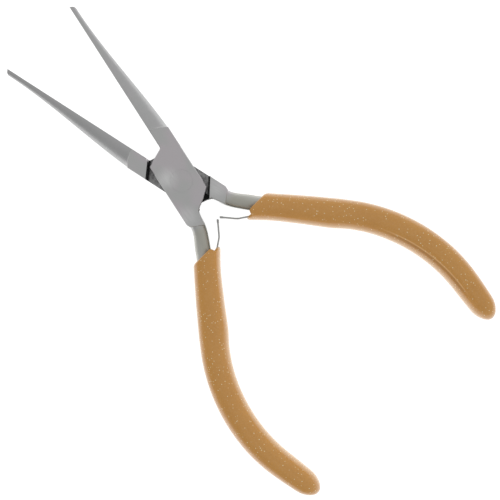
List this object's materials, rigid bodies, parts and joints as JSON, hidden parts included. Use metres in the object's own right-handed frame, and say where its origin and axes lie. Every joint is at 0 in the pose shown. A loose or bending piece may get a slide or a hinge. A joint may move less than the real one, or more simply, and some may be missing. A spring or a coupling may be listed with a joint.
{
  "type": "long nose pliers",
  "caption": "Jeweller's spring pliers with long slim half round jaws, a flush lap joint, leaf springs and bowed dipped grips.",
  "frame": {"origin": "pivot axis at the flat underside of the joint", "axes": "+Y along the pliers from handles to jaw tips, midway between the halves; +Z along the pivot axis, out of the front face; +X to the right seen from the front"},
  "size_m": [0.0842, 0.1496, 0.0098],
  "materials": {
    "ground_steel": "fine ground satin",
    "spring_steel": "dull cold rolled",
    "gold_grip": "glossy dipped vinyl with fine gold glitter"
  },
  "bodies": {
    "back_body": {"back_half": "ground_steel", "pivot_rivet": "ground_steel", "back_grip": "gold_grip", "back_spring_base": "spring_steel", "back_spring_rivet": "spring_steel"},
    "front_body": {"front_half": "ground_steel", "front_grip": "gold_grip", "front_spring_base": "spring_steel", "front_spring_rivet": "spring_steel"},
    "front_leaf": {"front_spring_arm": "spring_steel"},
    "back_leaf": {"back_spring_arm": "spring_steel"}
  },
  "joints": [
    {"name": "pivot", "type": "hinge", "parent": "back_body", "child": "front_body", "pos_m": [0, 0, 0.004], "axis": [0, 0, 1], "range_deg": [-20, 24.3], "stiffness_Nm_per_rad": 0.5},
    {"name": "front_leaf_flex", "type": "hinge", "parent": "front_body", "child": "front_leaf", "pos_m": [-0.00679, -0.02097, 0.004], "axis": [0, 0, 1], "range_deg": [-20, 24]},
    {"name": "back_leaf_flex", "type": "hinge", "parent": "back_body", "child": "back_leaf", "pos_m": [0.00679, -0.02097, 0.004], "axis": [0, 0, 1], "range_deg": [-24, 20]}
  ],
  "couplings": [
    {"joint": "front_leaf_flex", "follows": "pivot", "ratio": 0.96},
    {"joint": "back_leaf_flex", "follows": "pivot", "ratio": -0.96}
  ]
}
